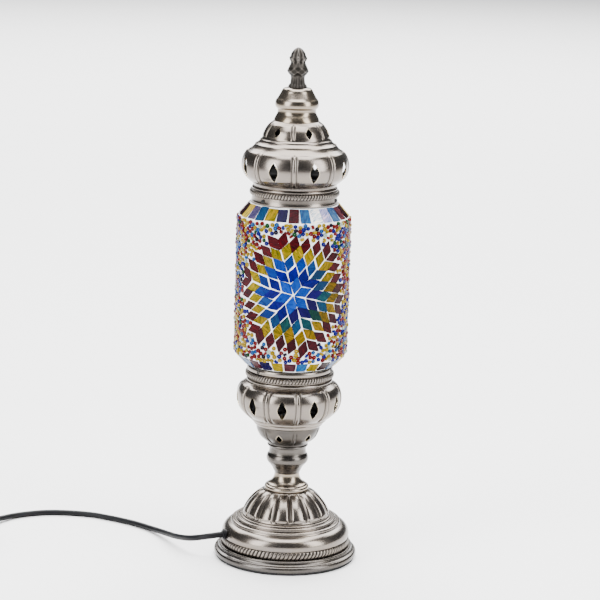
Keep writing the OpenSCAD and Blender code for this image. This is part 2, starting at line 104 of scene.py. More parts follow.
class Finish:
    """A material on one Principled shader: its even values are set on the shader's sockets,
    and feed() links what varies."""

    def __init__(self, name, colour, **even):
        self.material = bpy.data.materials.new(name)
        self.material.use_nodes = True
        self.tree = self.material.node_tree
        self.shader = self.tree.nodes["Principled BSDF"]
        self.shader.inputs["Base Color"].default_value = (*colour, 1)
        for socket, value in even.items():
            self.shader.inputs[socket.replace("_", " ")].default_value = value

    def node(self, kind, settings=None, out=0, **values):
        node = self.tree.nodes.new("ShaderNode" + kind)
        for key, value in (settings or {}).items():
            setattr(node, key, value)
        for key, value in values.items():
            slot = node.inputs[int(key[1:])] if key[0] == "_" else node.inputs[key.replace("_", " ")]
            if isinstance(value, Wire):
                self.tree.links.new(value.socket, slot)
            else:
                slot.default_value = value
        return Wire(self.tree, node.outputs[out])

    def place(self, stretch=(1, 1, 1)):
        """Object coordinates, in metres, times stretch."""
        where = self.node("TexCoord", out=3)
        return self.node("Mapping", _0=where, Scale=stretch)

    def noise(self, stretch, detail=3, rough=0.55, warp=0):
        return self.node("TexNoise", Vector=self.place(stretch), Scale=1.0, Detail=detail,
                         Roughness=rough, Distortion=warp)

    def attribute(self, name, out=2):
        return self.node("Attribute", {"attribute_name": name}, out=out)

    def mix(self, share, a, b, way="MIX"):
        a, b = (v if isinstance(v, Wire) else (*v, 1) for v in (a, b))
        return self.node("Mix", {"data_type": "RGBA", "blend_type": way}, out=2, _0=share, _6=a, _7=b)

    def feed(self, socket, wire):
        self.tree.links.new(wire.socket, self.shader.inputs[socket])

    def bump(self, height, depth, strength=1.0):
        """Relief of that depth in metres where height goes from 0 to 1."""
        self.feed("Normal", self.node("Bump", Height=height, Strength=strength, Distance=depth))


def dressed(piece, finish, body, stands_for=(), lining=None):
    """Gives a piece its material, its CAD body and the CAD nodes that it replaces. lining is
    the material of a sheet's inner side."""
    if not piece.data.materials:
        piece.data.materials.append(None)
    piece.data.materials[0] = finish.material
    if lining:
        piece.data.materials[1] = lining.material
    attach(piece, body)
    if stands_for:
        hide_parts(*stands_for)
    return piece


def coat(finish, *nodes):
    """Gives CAD nodes that stay as they are a material."""
    for name in nodes:
        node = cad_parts[name]
        node.data.materials.clear()
        node.data.materials.append(finish.material)


pvc = Finish("black_pvc", (0.005, 0.005, 0.006), Roughness=0.34, Specular_IOR_Level=0.12)
pvc_grain = pvc.noise((900, 900, 900), detail=4)
pvc.feed("Roughness", 0.28 + 0.22 * pvc.noise((160, 160, 160)))
pvc.bump(pvc_grain, 0.00004)

exit_turn = np.radians(-70)
exit_z = 0.0234
cord_d = 0.0054


def from_exit(r):
    """The point r from the lamp's axis on the grommet's own axis."""
    return [r * np.sin(exit_turn), -r * np.cos(exit_turn), exit_z]


to_switch = [from_exit(0.058), from_exit(0.061)] + [
    [x / 1000, y / 1000, z / 1000] for x, y, z in [
        (-64, -22.4, 22.8), (-70.5, -22.2, 21.6), (-77, -20, 19.8), (-83, -16.2, 17.8),
        (-88.5, -10.5, 15.6), (-95, -1, 13), (-102, 11, 10.2), (-109, 25, 7.5), (-117, 40, 5),
        (-127, 54, 3.2), (-141, 68, 2.7), (-156, 78, 2.7), (-172, 87, 2.7),
        (-187, 94, 2.7), (-203, 97, 2.7), (-218, 98, 2.7), (-232, 97, 2.7), (-246, 92, 2.7),
        (-260, 84, 2.9), (-270, 73, 3.6), (-278, 60, 5), (-285, 47, 6.6), (-289, 38, 7.4),
        (-290, 33, 7.5), (-290, 0, 7.5), (-290, -40, 7.5), (-290, -71, 7.5), (-290, -78, 6.8),
        (-290, -87, 5), (-290, -96, 3.8)]]
coil_at = (-0.3275, -0.108)
# Each layer: turns wound, start and end radius, height
layers = [(2.4, 37.5, 24.4, 3.5), (2.4, 24.4, 37.5, 8.9), (1.7, 37.5, 28.3, 14.3)]
step_turn = 1 / 24


def eased(x):
    """Goes from 0 to 1 with level ends, where x does so evenly."""
    return x ** 2 * (3 - 2 * x)


def wound(layers, climb_turn=0.16):
    """Clockwise spiral, layer on layer: the radius goes evenly from start to end in a layer, and the
    height climbs to the next layer over the last climb_turn of a turn."""
    turn = 0
    route = []
    for k, (turns, start, end, height) in enumerate(layers):
        share = np.arange(0, turns, step_turn) / turns
        angle = -2 * np.pi * (turn + share * turns)
        radius = (start + (end - start) * share) / 1000
        above = layers[k + 1][3] if k + 1 < len(layers) else height
        climb = eased(np.clip((share * turns - turns + climb_turn) / climb_turn, 0, 1))
        z = (height + (above - height) * climb) / 1000
        route += np.stack([coil_at[0] + radius * np.cos(angle), coil_at[1] + radius * np.sin(angle),
                           z], 1).tolist()
        turn += turns
    return route


to_plug = [[x / 1000, y / 1000, z / 1000] for x, y, z in [
    (-355.8, -107, 14.7), (-355.8, -99, 17.6), (-355.9, -91, 19.9), (-356.3, -83, 19),
    (-357, -75, 15.6), (-358.4, -66, 11.4), (-359.8, -57, 8.4), (-360.4, -51, 7.3), (-360.5, -45, 7.2)]]
route = to_switch + wound(layers) + to_plug
flex = bpy.data.curves.new("lead", "CURVE")
flex.dimensions = "3D"
flex.bevel_depth = cord_d / 2
flex.bevel_resolution = 3
flex.resolution_u = 4
flex.use_fill_caps = True
run = flex.splines.new("NURBS")
run.points.add(len(route) - 1)
run.points.foreach_set("co", np.c_[route, np.ones(len(route))].ravel())
run.use_endpoint_u = True
run.order_u = 3
lead = bpy.data.objects.new("lead", flex)
bpy.context.scene.collection.objects.link(lead)
dressed(lead, pvc, "stand", ["cord_lead", "cord_run", "cord_coil", "cord_tail"])
coat(pvc, "inner_cord", "cord_tie", "cord_grommet", "plug_relief", "switch_reliefs")

# ---------- switch and plug ----------
# A two-part moulded case with a rocker on trunnions, closed by two screws from below, and a flat
# plug with two round pins, moulded on to the lead. All are black, with a fine spark finish.
moulded = Finish("moulded_plastic", (0.008, 0.008, 0.009), Roughness=0.4, Specular_IOR_Level=0.22)
moulded.feed("Roughness", 0.32 + 0.2 * moulded.noise((300, 300, 300)))
moulded.bump(moulded.noise((2600, 2600, 2600), detail=2), 0.00003)
coat(moulded, "switch_base", "switch_cover", "switch_rocker", "plug_body", "holder_cap", "holder_shell")

zinc = Finish("zinc_steel", (0.62, 0.63, 0.65), Metallic=1.0, Roughness=0.3)
zinc.feed("Roughness", 0.22 + 0.25 * zinc.noise((220, 220, 700)))
zinc.bump(zinc.noise((500, 500, 2400), detail=2), 0.00002)
coat(zinc, "stem_pipe", "pipe_washers", "cap_bridge", "cap_rod", "cap_nuts", "bulb_cap",
     "switch_screws", "plug_pins")

# ---------- foot ----------
# A black felt disc is glued under a cast rim. A wire moulding of twisted strands, the spun bulge
# with three steps, the fluted dome and a flared collar stand on it, clamped by the pipe's nuts.
felt = Finish("felt", (0.012, 0.012, 0.013), Roughness=0.95)
felt.bump(felt.noise((1400, 1400, 1400), detail=5, rough=0.8), 0.0003)
coat(felt, "felt_pad")


def silver(name, colour, rough, worn=(0.62, 0.56, 0.47), wear=0.35):
    """Antique silver plate: slow warm and cool drift, fine rings left by the spinning lathe, dark
    where attribute patina is 0, which is tarnish and painted shade in the recesses, and a bright cut edge
    where attribute edge is 1."""
    finish = Finish(name, colour, Metallic=1.0, Roughness=rough)
    drift = finish.noise((28, 28, 40), detail=4, warp=0.6)
    rings = finish.noise((24, 24, 1900), detail=3, rough=0.7)
    cloud = finish.noise((95, 95, 150), detail=5, rough=0.7)
    plate = finish.mix((drift - 0.4).between(0, 0.3) * wear, colour, worn)
    cool = tuple(c * k for c, k in zip(colour, (0.95, 0.94, 1.06)))
    plate = finish.mix((cloud - 0.45).between(0, 0.25) * 0.35, plate, cool)
    plate = finish.mix(0.3 * (rings - 0.35).between(0, 0.4), plate, tuple(c * 0.72 for c in colour))
    # Tarnish and painted shade: where the attribute is 0, in the recesses, the plate goes near-black and
    # rougher.
    dark = 1 - finish.attribute("patina")
    plate = finish.mix(dark, plate, (0.02, 0.018, 0.016))
    plate = finish.mix(finish.attribute("edge"), plate, (0.5, 0.43, 0.32))
    finish.feed("Base Color", plate)
    finish.feed("Roughness", rough - 0.05 + 0.05 * cloud + 0.09 * rings + 0.25 * dark)
    finish.bump(rings * 0.9 + cloud * 0.1, 0.00002)
    return finish


# Copies of the plate. The darker copy is on the rim, the baluster and the finial; on the baluster, low under
# the bowl, its darkness is painted shade. shaded is darker still: painted shade on the pierced cup under the
# bowl. The warm copy is warmer and more worn.
plate = silver("antique_silver", (0.194, 0.171, 0.151), 0.22, worn=(0.24, 0.192, 0.133))
darker_plate = silver("darker_silver", (0.094, 0.086, 0.079), 0.25, worn=(0.12, 0.099, 0.072))
shaded = silver("shaded_silver", (0.068, 0.062, 0.057), 0.27, worn=(0.088, 0.072, 0.053))
tinted = silver("warm_silver", (0.235, 0.2, 0.163), 0.22, worn=(0.3, 0.235, 0.15), wear=0.8)


def grid_faces(rows, cols, wrap=True):
    """Quads between neighbours of a grid of points; wrap joins the last column to the first."""
    i, j = np.meshgrid(np.arange(rows - 1), np.arange(cols if wrap else cols - 1), indexing="ij")
    k = (j + 1) % cols
    return np.stack([i * cols + j, i * cols + k, (i + 1) * cols + k, (i + 1) * cols + j], -1).reshape(-1, 4)


def new_piece(name, corners, faces, **marks):
    """A mesh from corners in millimetres, faces as arrays of corner numbers, and a number or a
    colour on each corner for each mark."""
    mesh = bpy.data.meshes.new(name)
    mesh.from_pydata((np.asarray(corners).reshape(-1, 3) / 1000).tolist(), [],
                     [f for block in faces for f in block.tolist()])
    for mark, values in {"patina": 1.0, "edge": 0.0, **marks}.items():
        values = np.asarray(values, float)
        if values.ndim < 2 or values.shape[-1] != 4:
            values = np.broadcast_to(values.reshape(-1) if values.ndim else values, len(mesh.vertices))
            mesh.attributes.new(mark, "FLOAT", "POINT").data.foreach_set("value", values.ravel())
        else:
            mesh.attributes.new(mark, "FLOAT_COLOR", "POINT").data.foreach_set("color", values.ravel())
    piece = bpy.data.objects.new(name, mesh)
    bpy.context.scene.collection.objects.link(piece)
    return piece


# Near-black inner side of the sheets: painted shade, so that the holes in the pierced pieces read dark.
inside = Finish("shade_dark_inside", (0.02, 0.019, 0.018), Metallic=0.6, Roughness=0.6)
inside.feed("Roughness", 0.55 + 0.2 * inside.noise((200, 200, 200)))


def closed_up(piece, wall=0, weld=True):
    """Merges corners that meet, gives a sheet its wall inwards, and marks creases over 38 degrees.
    The inner side of a wall takes the second material."""
    if weld:
        loose = bmesh.new()
        loose.from_mesh(piece.data)
        bmesh.ops.remove_doubles(loose, verts=loose.verts, dist=2e-6)
        loose.to_mesh(piece.data)
        loose.free()
    if wall:
        piece.data.materials.append(None)
        piece.data.materials.append(None)
        thick = piece.modifiers.new("wall", "SOLIDIFY")
        thick.thickness = wall / 1000
        thick.offset = -1
        thick.material_offset = 1
        seen = bpy.context.evaluated_depsgraph_get()
        seen.update()
        made = bpy.data.meshes.new_from_object(piece.evaluated_get(seen))
        piece.modifiers.clear()
        piece.data = made
    piece.data.shade_smooth()
    piece.data.set_sharp_from_angle(angle=np.radians(38))
    return piece


def arc(centre, rx, rz, a0, a1, n=10):
    """Points of an oval stretch, from angle a0 to a1 in degrees."""
    a = np.radians(np.linspace(a0, a1, n + 1))
    return np.c_[centre[0] + rx * np.cos(a), centre[1] + rz * np.sin(a)].tolist()


def flowing(points, step=0.7):
    """Smooth line through the points: between two points it is the cubic whose end slopes are those
    of the chords over each end's neighbours. A doubled point is a corner and starts a new line."""
    points = np.asarray(points, float)
    cuts = [0] + [i + 1 for i in range(len(points) - 1) if np.allclose(points[i], points[i + 1])]
    cuts.append(len(points))
    line = []
    for a, b in zip(cuts[:-1], cuts[1:]):
        part = points[a:b]
        if len(part) > 1:
            p = np.vstack([2 * part[0] - part[1], part, 2 * part[-1] - part[-2]])
            gap = np.linalg.norm(np.diff(p, axis=0), axis=1)[:, None]
            slope = (p[2:] - p[:-2]) / (gap[1:] + gap[:-1])
            for q0, q1, s0, s1, long in zip(part[:-1], part[1:], slope[:-1], slope[1:], gap[1:-1, 0]):
                t = np.linspace(0, 1, max(2, int(np.ceil(long / step))), endpoint=False)[:, None]
                line.append((1 + 2 * t) * (1 - t) ** 2 * q0 + t * (1 - t) ** 2 * long * s0
                            + t ** 2 * (3 - 2 * t) * q1 + t ** 2 * (t - 1) * long * s1)
        line.append(part[-1:])
    line = np.vstack(line)
    keep = np.r_[True, np.linalg.norm(np.diff(line, axis=0), axis=1) > 1e-6]
    return line[keep]


def lengths(line):
    """How far along the line each of its points lies."""
    return np.r_[0, np.cumsum(np.linalg.norm(np.diff(line, axis=0), axis=1))]


def hump(x, centre, width, power=2):
    """1 at centre, falling away on both sides over about width; a higher power is flatter on top."""
    return np.exp(-((x - centre) / width) ** power)


def outward(line):
    """Unit normals on the right-hand side of a line that runs upwards."""
    way = np.gradient(line, axis=0)
    way /= np.linalg.norm(way, axis=1)[:, None]
    return np.c_[way[:, 1], -way[:, 0]]


def relief_on(line, columns, relief):
    """relief(angle, share, radius) at each point of a turned line; share is how far along it is."""
    angle = np.arange(columns) * 2 * np.pi / columns
    along = lengths(line)
    return relief(angle[None, :], (along / along[-1])[:, None], line[:, :1])


def turned(line, columns=192, relief=None, ring=False):
    """A line of (radius, height) turned about the axis. relief is how far each point stands out along
    the line's normal; angles start at the front and grow to the right."""
    line = np.asarray(line, float)
    if ring:
        line = np.vstack([line, line[:1]])
    angle = np.arange(columns) * 2 * np.pi / columns
    r = np.repeat(line[:, :1], columns, 1)
    z = np.repeat(line[:, 1:], columns, 1)
    if relief is not None:
        out = outward(line)
        height = relief_on(line, columns, relief)
        r = r + height * out[:, :1]
        z = z + height * out[:, 1:]
    corners = np.stack([r * np.sin(angle), -r * np.cos(angle), z], -1)
    return corners, [grid_faces(len(line), columns)]


def spun(name, line, columns=192, relief=None, wall=0.8, finish=plate, body="stand",
         slot="antique_silver", stands_for=(), lining=inside, **marks):
    piece = new_piece(name, *turned(line, columns, relief), **marks)
    return dressed(closed_up(piece, wall), finish, body, stands_for, lining if wall else None)


def cast(name, line, columns=192, finish=plate, body="stand", stands_for=()):
    """A solid ring from a closed line."""
    piece = new_piece(name, *turned(line, columns, ring=True))
    return dressed(closed_up(piece), finish, body, stands_for)


cast("rim", flowing([[54.4, 2], [61.6, 2], [61.6, 2]] + arc((63.2, 4.8), 2, 2.8, -90, 90, 14)
                    + [[62.4, 7.9], [61.4, 8.5], [60.9, 9.2], [60.8, 9.7], [60.8, 9.7]]
                    + arc((59.9, 10.9), 1.2, 1.2, -50, 90, 8)
                    + [[59.9, 12.1], [54.4, 12.1], [54.4, 12.1], [54.4, 10.6], [54.4, 10.6],
                       [58.2, 9.6], [58.2, 9.6], [58.2, 4], [58.2, 4], [54.4, 4], [54.4, 4]]),
     finish=darker_plate, stands_for=["base_ring"])


def strands(name, count, bore, out, z0, height, lean, depth, body, stands_for):
    """A moulding of twisted wire: a half-round ring whose surface is count leaning strands. Across a
    strand u runs from -1 to 1, and it stands out by depth times the root of 1 - 0.96 u squared."""
    rows, per = 15, 10
    body_t, rounding = 1.5, 0.15
    across = np.radians(np.linspace(-90, 90, rows))[:, None]
    angle = (np.arange(count * per) * 2 * np.pi / (count * per))[None, :]
    phase = (angle * count / (2 * np.pi) - lean * across / np.pi) % 1
    u = 2 * phase - 1
    swell = np.sqrt(np.clip(1 - 0.96 * u ** 2, 0, 1))
    stand = depth * swell * np.cos(across) ** 0.3
    r = out - depth - body_t + (body_t + stand) * np.cos(across) ** 0.5
    z = z0 + height / 2 + (height / 2 - rounding + rounding * swell) * np.sin(across)
    corners = np.stack([r * np.sin(angle), -r * np.cos(angle), z + 0 * angle], -1)
    inner = np.array([[bore, z0 + height], [bore, z0]])
    back = np.stack([inner[:, :1] * np.sin(angle), -inner[:, :1] * np.cos(angle),
                     inner[:, 1:] + 0 * angle], -1)
    corners = np.concatenate([corners, back, corners[:1]])
    # Tarnish and painted shade: the grooves between the strands are marked dark and the crests stay bright.
    crest = np.clip(swell * 2.5 - 1.5, 0, 1)
    mark = np.concatenate([crest, np.ones_like(back[..., 0]), crest[:1]])
    piece = new_piece(name, corners, [grid_faces(len(corners), count * per)], patina=mark)
    return dressed(closed_up(piece), plate, body, stands_for)


strands("foot_wire", 100, 56, 58.6, 12.1, 7.3, 1.2, 1.1, "stand", ["foot_rope"])

spun("foot_bulge", flowing([[56, 12.1], [56, 19.4], [56, 19.4], [57, 19.6]]
                           + arc((48, 22.2), 10.15, 10, -13, 74, 20)
                           + [[50.2, 32], [50.2, 32]] + arc((48, 33.5), 1.9, 1.5, -20, 110, 9)
                           + [[45.6, 35.1], [45.6, 35.1]] + arc((44, 36.4), 1.6, 1.3, -20, 110, 8)
                           + [[42.1, 37.8], [42.1, 37.8]] + arc((41, 38.1), 1.1, 0.9, -10, 90, 6)
                           + [[35, 39]]), stands_for=["foot_shell"])

flutes = 15
first_flute = np.radians(7)
flute_d, lip_d, lobe_d = 1.9, 0.75, 0.9


def fluting(angle, share, r):
    """Narrow grooves that taper upwards: a bell curve across each, over nearly all of the height, with
    a small lip on both sides of its foot, and softly rounded lobes between the grooves."""
    pitch = 2 * np.pi / flutes
    off = (angle - first_flute + pitch / 2) % pitch - pitch / 2
    across = off * r
    half = 1.0 + 1.3 * np.clip(1 - share * 1.15, 0, 1)
    fade = eased(np.clip((share - 0.05) / 0.07, 0, 1) * np.clip((0.92 - share) / 0.2, 0, 1))
    groove = -flute_d * fade * hump(across, 0, half)
    lip = lip_d * hump(np.abs(across), 1.9, 0.9) * hump(share, 0.1, 0.035)
    lobe = lobe_d * fade * np.sin(np.pi * np.abs(off) / pitch)
    return groove + lip + lobe


dome_line = flowing([[39.4, 39], [39.6, 39.6]] + arc((2.8, 27.6), 38.7, 38.7, 19.4, 62, 24)
                    + [[20.2, 62.6], [20.2, 62.6], [17, 62.6]])
dome_columns = 720
dome_relief = relief_on(dome_line, dome_columns, fluting)
# Tarnish and painted shade: the flutes are darkened by their depth, and the lobes stay bright.
spun("fluted_dome", dome_line, dome_columns, fluting, stands_for=["foot_dome"],
     patina=np.clip(1 + dome_relief / 2.2, 0.1, 1))

spun("waist_collar", flowing([[19.2, 62.6]] + arc((18.6, 65), 1.6, 2.1, -60, 80, 8)
                             + [[18.4, 67.2], [18.4, 67.2]] + arc((21, 78), 9.6, 10.4, -112, -180, 14)
                             + [[11.4, 78.6]]), finish=tinted, slot="warm_silver",
     stands_for=["foot_collar"])

# ---------- stem ----------
# A vase-shaped spun piece on the collar, a pierced cup on it, and the large pierced bowl that
# carries the glass. The pipe runs through all three and a nut on the bowl's floor holds them.
spun("baluster", flowing([[10.6, 78.6], [11.4, 78.7], [11.4, 78.7], [12.2, 80.4], [14.2, 84.4],
                          [15.6, 86.2], [16.4, 87.4], [16.4, 87.4]]
                         + arc((13, 92.7), 6.1, 6.4, -56, 46, 14)
                         + [[17, 98], [16.8, 99.6], [16.7, 101.4], [17, 103.2], [17.4, 104], [17.4, 104]]
                         + arc((17.4, 105.1), 1.1, 1.1, -80, 90, 7)), finish=darker_plate, stands_for=["stem_vase"])


def lozenge(width, height, each=20):
    """Outline of a lozenge with wavy sides, from its top round to the right: one quarter goes from the
    side to the tip, and the others are its mirror images."""
    quarter = np.array([[0.5, 0], [0.44, 0.05], [0.46, 0.11], [0.36, 0.16], [0.37, 0.21], [0.26, 0.245],
                        [0.29, 0.3], [0.19, 0.345], [0.17, 0.39], [0.08, 0.43], [0, 0.5]])
    along = lengths(quarter)
    at = np.linspace(0, along[-1], each + 1)
    q = np.c_[np.interp(at, along, quarter[:, 0]) * width, np.interp(at, along, quarter[:, 1]) * height]
    right_up = q[::-1]
    right_down = q * [1, -1]
    left_down = right_down[::-1] * [-1, 1]
    left_up = right_up[::-1] * [-1, 1]
    return np.vstack([right_up[:-1], right_down[:-1], left_down[:-1], left_up[:-1]])


def pierced(name, line, zone, panels, first, hole, hole_z, ribs, columns, rows, finish, body,
            stands_for):
    """A turned sheet with one hole in each panel. A panel is a grid of rings between the hole's
    outline and the panel's border: point(b) = (1 - b) hole + b border, in angle and length along
    the line. Ribs stand out along the borders, and the bands over and under the panels are turned."""
    pillow_d, edge_w, fade_w = 0.5, 0.55, 3
    along = lengths(line)

    def radius(s):
        return np.interp(s, along, line[:, 0])

    def level(s):
        return np.interp(s, along, line[:, 1])

    normal = outward(line)

    def stood(angle, s, height):
        n_r = np.interp(s, along, normal[:, 0])
        n_z = np.interp(s, along, normal[:, 1])
        r = radius(s) + height * n_r
        return np.stack([r * np.sin(angle), -r * np.cos(angle), level(s) + height * n_z], -1)

    rib_w, rib_h, groove_h = ribs
    s0, s1, sc = (np.interp(z, line[:, 1], along) for z in (*zone, hole_z))
    wide = np.pi / panels
    outline = lozenge(hole[0], hole[1], columns + rows)
    # Border: half the top, right side, bottom, left side, half the top
    top = np.linspace(0, 1, columns, endpoint=False)
    side = np.linspace(0, 1, rows, endpoint=False)
    ease = np.r_[top * wide, wide + 0 * side, wide * (1 + 0 * side), wide * (1 - top)]
    border_a = np.r_[ease, -ease]
    up, low = s1 - sc, s0 - sc
    border_s = np.r_[up + 0 * top, up * (1 - side), low * side, low + 0 * top,
                     low + 0 * top, low * (1 - side), up * side, up + 0 * top]
    # Rings: close together at the hole's cut edge and again on the rib
    b = np.r_[0, 0.02, np.linspace(0.06, 0.8, 16), np.linspace(0.815, 1, 16)][:, None]
    hole_s = outline[:, 1]
    hole_a = outline[:, 0] / radius(sc + hole_s)
    local_a = (1 - b) * hole_a + b * border_a
    s = sc + (1 - b) * hole_s + b * border_s
    r = radius(s)
    from_rib = (wide - np.abs(local_a)) * r
    from_end = np.minimum(s - s0, s1 - s)
    fade = eased(np.clip(from_end / fade_w, 0, 1))

    def ribbing(d):
        rib = rib_h * np.cos(np.clip(d / rib_w, 0, 1) * np.pi / 2) ** 1.2
        return rib - groove_h * hump(d, rib_w * 1.25, rib_w * 0.4)

    pillow = pillow_d * (1 - (local_a / wide) ** 2)
    height = fade * (ribbing(from_rib) + pillow)
    cut = np.linalg.norm(np.stack([(local_a - hole_a) * r, s - sc - hole_s]), axis=0)
    edge = np.clip(1 - cut / edge_w, 0, 1)
    # Tarnish and painted shade: the groove beside each rib is darkened.
    patina = np.clip(1 - 0.75 * fade * hump(from_rib, rib_w * 1.15, rib_w * 0.35), 0, 1)
    corners, faces, edges, patinas, count = [], [], [], [], 0
    for k in range(panels):
        turn = np.radians(first) + 2 * wide * k
        corners.append(stood(local_a + turn, s, height).reshape(-1, 3))
        faces.append(grid_faces(*s.shape) + count)
        edges.append(edge.ravel())
        patinas.append(patina.ravel())
        count += s.size
    round_a = np.sort(np.r_[-wide * top[1:], wide * top, wide])[:-1]
    angles = (round_a[None, :] + (np.radians(first) + 2 * wide * np.arange(panels))[:, None]).ravel()
    for part in (along[along < s0 - 1e-6], along[along > s1 + 1e-6]):
        if not len(part):
            continue
        band = np.r_[part, s0] if part[0] < s0 else np.r_[s1, part]
        grid = stood(angles[None, :], band[:, None] + 0 * angles, 0)
        corners.append(grid.reshape(-1, 3))
        faces.append(grid_faces(len(band), len(angles)) + count)
        edges.append(np.zeros(grid[..., 0].size))
        patinas.append(np.ones(grid[..., 0].size))
        count += grid[..., 0].size
    piece = new_piece(name, np.vstack(corners), faces, edge=np.hstack(edges), patina=np.hstack(patinas))
    return dressed(closed_up(piece, 0.8), finish, body, stands_for, inside)


cup_line = flowing([[16, 106.3], [18, 106.3], [18.4, 107], [19.3, 108.6], [22.5, 111.2], [25.5, 114.2],
                    [27.5, 117.9], [28.7, 121.6], [29, 124.3]])
pierced("pierced_cup", cup_line, (108, 123), 6, -17, (5.8, 8.6), 115.6, (1.3, 0.6, 0.35), 14, 8,
        shaded, "stand", ["lower_cup"])
bowl_line = flowing([[24, 124.5], [29.2, 124.5], [29.2, 124.5], [31, 125.1], [31.8, 126.4], [31.9, 127.6],
                     [31.9, 127.6], [33.6, 128.4], [34.8, 129.6], [35.1, 131], [35.1, 131], [38.6, 133.6],
                     [42, 136.8], [44.8, 140.6], [46.5, 145], [47.2, 150.2], [46.7, 155.4], [44.9, 159.4],
                     [41.8, 162.4], [38.6, 164.1], [37.8, 164.8]])
pierced("pierced_bowl", bowl_line, (132, 163), 10, -7, (9, 18.5), 147, (1.9, 0.8, 0.45), 10, 14,
        plate, "stand", ["lower_bowl"])
cast("lower_glass_ring", flowing([[31, 164.8], [38.2, 164.8], [38.2, 164.8]]
                                 + arc((37.9, 166.6), 1.1, 1.4, -70, 70, 7)
                                 + [[37.6, 168.6], [37.6, 168.6], [37.6, 174.6], [37.6, 174.6]]
                                 + arc((37.5, 177.5), 1.4, 2.7, -80, 80, 10)
                                 + [[36.6, 180.4], [36.6, 180.4], [36.6, 168], [36.6, 168], [31, 168],
                                    [31, 168]]), stands_for=["lower_collar"])
strands("lower_wire", 86, 37.6, 40.3, 169.2, 5.3, 1.1, 1, "stand", ["lower_rope"])
blackened = Finish("blackened_steel", (0.05, 0.05, 0.05), Metallic=1.0, Roughness=0.45)
blackened.feed("Roughness", 0.35 + 0.25 * blackened.noise((700, 700, 700)))
coat(blackened, "collar_screws", "cap_screws")

# ---------- lamp holder and bulb ----------
# A small-screw holder of black moulding on the pipe's top, with a brass sleeve and contact, and a
# frosted golf-ball bulb. They are out of sight while the cap is on.
bare_brass = Finish("bare_brass", (0.78, 0.6, 0.28), Metallic=1.0, Roughness=0.28)
bare_brass.feed("Roughness", 0.2 + 0.3 * bare_brass.noise((260, 260, 500)))
coat(bare_brass, "pipe_nuts", "holder_thread", "holder_contact", "bulb_contact")
frosted = Finish("frosted_glass", (0.9, 0.89, 0.86), Roughness=0.5, Transmission_Weight=0.3)
frosted.feed("Roughness", 0.42 + 0.2 * frosted.noise((120, 120, 120)))
coat(frosted, "bulb_glass")

# ---------- glass tube and grout ----------
# Clear blown tube, drawn in to a short neck at each end. White grout is rubbed between the tiles
# and beads on its outside, and stays a little lower than they are.
clear = Finish("clear_glass", (0.85, 0.92, 0.93), Roughness=0.05, Transmission_Weight=0.9, IOR=1.5)
clear.feed("Base Color", clear.mix(clear.noise((12, 12, 12)), (0.82, 0.9, 0.9), (0.9, 0.95, 0.95)))
coat(clear, "glass_tube")
grout = Finish("white_grout", (0.86, 0.86, 0.87), Roughness=0.5)
grout_cloud = grout.noise((210, 210, 210), detail=5)
grout.feed("Base Color", grout.mix(grout_cloud, (0.9, 0.9, 0.9), (0.74, 0.76, 0.8)))
grout.feed("Roughness", 0.35 + 0.3 * grout_cloud)
grout.bump(grout.noise((420, 420, 420), detail=4), 0.0003)

z_wall, z_shoulder, wall_r = 193.2, 316.2, 49.9
lower_bend = arc((42.4, 194), 7.5, 7.5, -57, 0, 9)
upper_bend = arc((47.7, 314.8), 2.2, 2.2, 0, 44, 5)
coat_out = flowing([[38.8, 181.2], [42.8, 184.8], lower_bend[0]] + lower_bend + lower_bend[-1:]
                   + upper_bend[:1] + upper_bend + upper_bend[-1:] + [[39.2, 328.2]], step=1.2)


def lumps(angle, share, r):
    """Soft unevenness of a coat rubbed on by hand: two slow waves crossing."""
    return 0.07 * np.sin(9 * angle + 40 * share) + 0.06 * np.sin(17 * angle - 65 * share)


spun("grout", coat_out, 192, lumps, wall=2.1, finish=grout, body="shade", slot="white_grout",
     stands_for=["grout_coat"], lining=grout)

# ---------- star tiles ----------
# Hand-cut rhombs of streaky stained glass, 2 mm thick, laid in six arms round a point on the front
# and another on the back. Ring n holds n tiles of each arm, and each ring has its own colour.
random = np.random.default_rng(45)
tile_side, tile_pitch, spoke = 10.1, 10.3, 0.3
star_turn, star_u, star_z = np.radians(13), 1.6, z_wall + 60


def stained(name):
    """Streaky glass in the tile's own colour, from attribute tint. The streaks run along attribute
    grain, the place on the sheet that the tile was cut from, in millimetres."""
    finish = Finish(name, (0.5, 0.5, 0.5), Roughness=0.2, Specular_IOR_Level=0.05)
    sheet = finish.node("Mapping", _0=finish.attribute("grain", out=1), Scale=(0.55, 0.13, 1))
    streaks = finish.node("TexNoise", Vector=sheet, Scale=1.0, Detail=4, Roughness=0.65, Distortion=1.2)
    tint = finish.attribute("tint", out=0)
    deep = finish.mix(1.0, tint, (0.22, 0.36, 0.5), "MULTIPLY")
    warm = finish.mix(1.0, tint, (2.0, 1.5, 1.1), "MULTIPLY")
    body = finish.mix((streaks - 0.36).between(0, 0.16), deep, tint)
    body = finish.mix((streaks - 0.54).between(0, 0.14), body, warm)
    finish.feed("Base Color", body)
    finish.feed("Roughness", 0.14 + 0.16 * streaks)
    finish.bump(streaks, 0.00022)
    return finish


tile_glass = stained("stained_glass")


